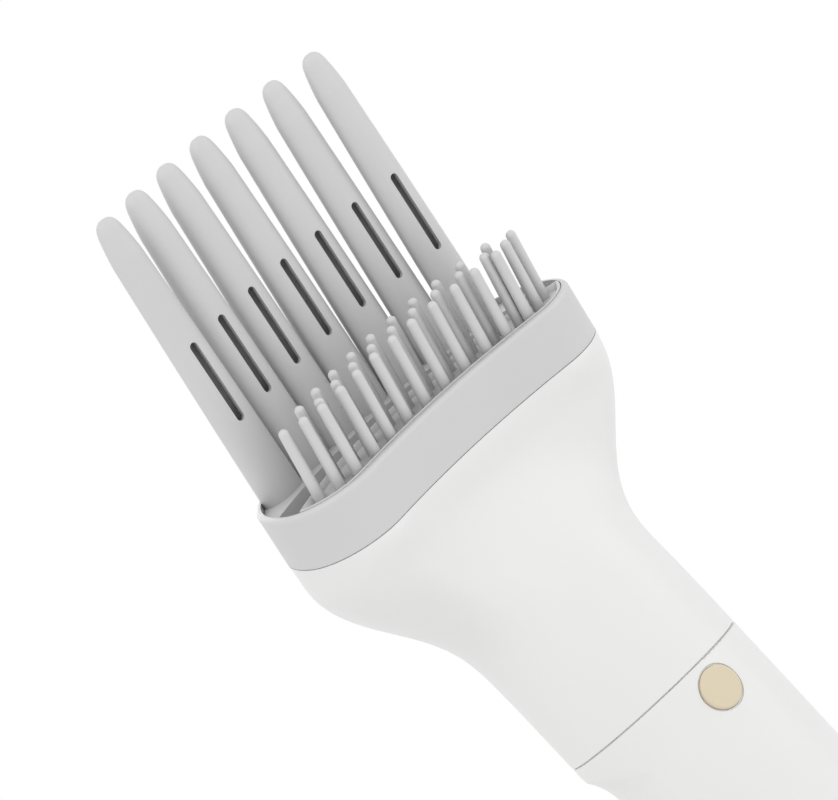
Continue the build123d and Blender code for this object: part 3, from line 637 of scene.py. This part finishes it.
def hoop(name, rings, slot, body):
    """A closed strip from equal rings of points, one ring for each corner of its section."""
    sides = len(rings[0])
    faces = []
    for k in range(len(rings)):
        row = k * sides
        next_row = (k + 1) % len(rings) * sides
        for i in range(sides):
            ahead = (i + 1) % sides
            faces.append((row + i, row + ahead, next_row + ahead, next_row + i))
    mesh = bpy.data.meshes.new(name)
    mesh.from_pydata([point for ring in rings for point in ring], [], faces)
    mesh.shade_smooth()
    mesh.set_sharp_from_angle(angle=math.radians(TRIM_SHARP_ANGLE))
    mesh.materials.append(looks[slot])
    piece = add_piece(name, mesh)
    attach(piece, body)


def head_hoop(name, loop, section):
    """A strip along a loop of the head, with a section of insets and levels."""
    shifts = inward(loop)
    rings = []
    for inset, level in section:
        spots = [point + shift * inset for point, shift in zip(loop, shifts)]
        rings.append([head_frame @ Vector((spot.x, spot.y, level)) for spot in spots])
    hoop(name, rings, "grey_trim", "comb_head")


def round_turns(count):
    """Equal turns round a circle, in radians."""
    return [2 * math.pi * i / count for i in range(count)]


def seam_bead():
    """A ring that closes the bottom of the seam between the handle and the nozzle."""
    turns = round_turns(SEAM_BEAD_SIDES)
    rings = [[(r * math.cos(t), r * math.sin(t), z) for t in turns] for r, z in SEAM_BEAD_SECTION]
    hoop("seam_bead", rings, "white_shell", "handle")


def button_lining(radius):
    """A ring round the button, sunk a little under the handle's round surface."""
    section = [
        (LINING_INNER, LINING_SINK),
        (LINING_OUTER, LINING_SINK),
        (LINING_OUTER, LINING_DEPTH),
        (LINING_INNER, LINING_DEPTH),
    ]
    rings = []
    for reach, sink in section:
        ring = []
        for turn in round_turns(LINING_SIDES):
            x = reach * math.cos(turn)
            y = -math.sqrt((radius - sink) ** 2 - x**2)
            ring.append((x, y, BUTTON_HEIGHT + reach * math.sin(turn)))
        rings.append(ring)
    hoop("button_lining", rings, "white_shell", "handle")


def slot_shutter():
    """A ribbed strip behind the slot of the power switch, which slides with it."""
    section = [
        (-SHUTTER_HALF, 0),
        (SHUTTER_HALF, 0),
        (SHUTTER_HALF, SHUTTER_THICK),
        (-SHUTTER_HALF, SHUTTER_THICK),
    ]
    length = SHUTTER_HIGH - SHUTTER_LOW
    count = round(length / SHUTTER_RIB_PITCH * SHUTTER_RIB_STEPS)
    points = []
    for x, depth in section:
        for i in range(count + 1):
            sunk = depth == 0 and i % SHUTTER_RIB_STEPS in SHUTTER_SUNK_STEPS
            y = depth - SHUTTER_FRONT + (SHUTTER_RIB_DEPTH if sunk else 0)
            points.append((x, y, SHUTTER_LOW + length * i / count))
    width = count + 1
    corners = range(len(section))
    faces = [
        tuple(k * width for k in corners),
        tuple(k * width + count for k in reversed(corners)),
    ]
    for k in corners:
        low = k * width
        high = (k + 1) % len(section) * width
        faces += [(low + i, low + i + 1, high + i + 1, high + i) for i in range(count)]
    mesh = bpy.data.meshes.new("slot_shutter")
    mesh.from_pydata(points, [], faces)
    mesh.materials.append(looks["grey_trim"])
    piece = add_piece("slot_shutter", mesh)
    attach(piece, "power_switch")


handle_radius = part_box("handle_barrel")[1][0]
scooped_barrel(handle_radius)
latch_spring()
slot_shutter()
head_hoop("pad_lip", outer_loop("pin_pad", PAD_TOP), LIP_SECTION)
head_hoop("collar_bead", outer_loop("head_collar", COLLAR_FOOT), COLLAR_BEAD_SECTION)
seam_bead()
button_lining(handle_radius)


# Marks beside the power switch


def flat_text(text):
    """A text as a thin flat mesh round its own middle."""
    curve = bpy.data.curves.new("mark", "FONT")
    curve.body = text
    curve.size = MARK_HEIGHT
    curve.align_x = "CENTER"
    curve.align_y = "CENTER"
    curve.extrude = MARK_THICKNESS / 2
    flat = add_piece("mark", curve)
    bpy.context.view_layer.update()
    evaluated = flat.evaluated_get(bpy.context.evaluated_depsgraph_get())
    mesh = bpy.data.meshes.new_from_object(evaluated)
    bpy.data.objects.remove(flat)
    bpy.data.curves.remove(curve)
    return mesh


def printed_mark(text, radius, turn, height, finish):
    """A number laid onto the round handle as a thin layer of ink."""
    mesh = flat_text(text)
    for vertex in mesh.vertices:
        angle = turn + vertex.co.x / radius
        out = radius + MARK_THICKNESS / 2 + vertex.co.z
        vertex.co = (out * math.sin(angle), -out * math.cos(angle), height + vertex.co.y)
    mesh.materials.append(finish)
    mark = add_piece(f"switch_mark_{text}", mesh)
    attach(mark, "handle")


ink = plastic(**MARK_INK)
slider_low, slider_high = (Vector(corner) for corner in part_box("power_slider"))
travel = next(joint for joint in frame["joints"] if joint["name"] == "power_slide")["range_m"][1]
mark_turn = (slider_high.x + MARK_GAP + MARK_HALF_WIDTH) / handle_radius
for stop, text in enumerate(MARK_TEXTS):
    stop_height = (slider_low.z + slider_high.z) / 2 + travel * stop / (len(MARK_TEXTS) - 1)
    printed_mark(text, handle_radius, mark_turn, stop_height, ink)


# Studio


def area_light(name, place, size, watts):
    """A soft rectangular lamp that faces the head."""
    data = bpy.data.lights.new(name, "AREA")
    data.shape = "RECTANGLE"
    data.size, data.size_y = size
    data.energy = watts
    lamp = bpy.data.objects.new(name, data)
    lamp.location = place
    lamp.rotation_euler = (LAMP_TARGET - place).to_track_quat("-Z", "Y").to_euler()
    bpy.context.scene.collection.objects.link(lamp)


def white_for_camera(tree, strength_socket, strength):
    """A sky that is white to the camera and in reflections, and softer where it lights things."""
    path = tree.nodes.new("ShaderNodeLightPath")
    seen = path.outputs["Is Camera Ray"]
    for ray in ("Is Transmission Ray", "Is Glossy Ray"):
        seen = math_node(tree, "MAXIMUM", seen, path.outputs[ray])
    mix = tree.nodes.new("ShaderNodeMapRange")
    mix.inputs["To Min"].default_value = strength
    mix.inputs["To Max"].default_value = 1.0
    tree.links.new(seen, mix.inputs["Value"])
    tree.links.new(mix.outputs["Result"], strength_socket)


def round_floor():
    """A round pale floor, just under the styler's foot."""
    mesh = bpy.data.meshes.new("floor")
    turns = round_turns(FLOOR_SIDES)
    rim = [(FLOOR_RADIUS * math.cos(t), FLOOR_RADIUS * math.sin(t), 0) for t in turns]
    mesh.from_pydata(rim, [], [tuple(range(FLOOR_SIDES))])
    mesh.materials.append(plastic(**FLOOR_PLASTIC))
    floor = bpy.data.objects.new("floor", mesh)
    floor.location.z = -FLOOR_DROP
    bpy.context.scene.collection.objects.link(floor)


world = bpy.data.worlds.new("studio_sky")
bpy.context.scene.world = world
world.use_nodes = True
sky = world.node_tree.nodes["Background"]
sky.inputs["Color"].default_value = (1, 1, 1, 1)
white_for_camera(world.node_tree, sky.inputs["Strength"], SKY_STRENGTH)
round_floor()
for name, values in LAMPS.items():
    area_light(name, **values)


# Camera

azimuth, elevation, roll = (math.radians(a) for a in (VIEW_AZIMUTH, VIEW_ELEVATION, VIEW_ROLL))
level_back = Vector((math.sin(azimuth), -math.cos(azimuth), 0))
back = level_back * math.cos(elevation) + Vector((0, 0, math.sin(elevation)))
level_right = Vector((0, 0, 1)).cross(back).normalized()
level_up = back.cross(level_right)
right = math.cos(roll) * level_right + math.sin(roll) * level_up
up = math.cos(roll) * level_up - math.sin(roll) * level_right
camera_data = bpy.data.cameras.new("camera")
camera_data.lens = LENS_MM
camera_data.sensor_width = SENSOR_MM
camera_data.clip_start = CLIP_NEAR
camera_data.clip_end = CLIP_FAR
camera = bpy.data.objects.new("camera", camera_data)
camera.matrix_world = Matrix.Translation(EYE) @ Matrix((right, up, back)).transposed().to_4x4()
bpy.context.scene.collection.objects.link(camera)
bpy.context.scene.camera = camera

bpy.context.scene.view_settings.view_transform = "Standard"
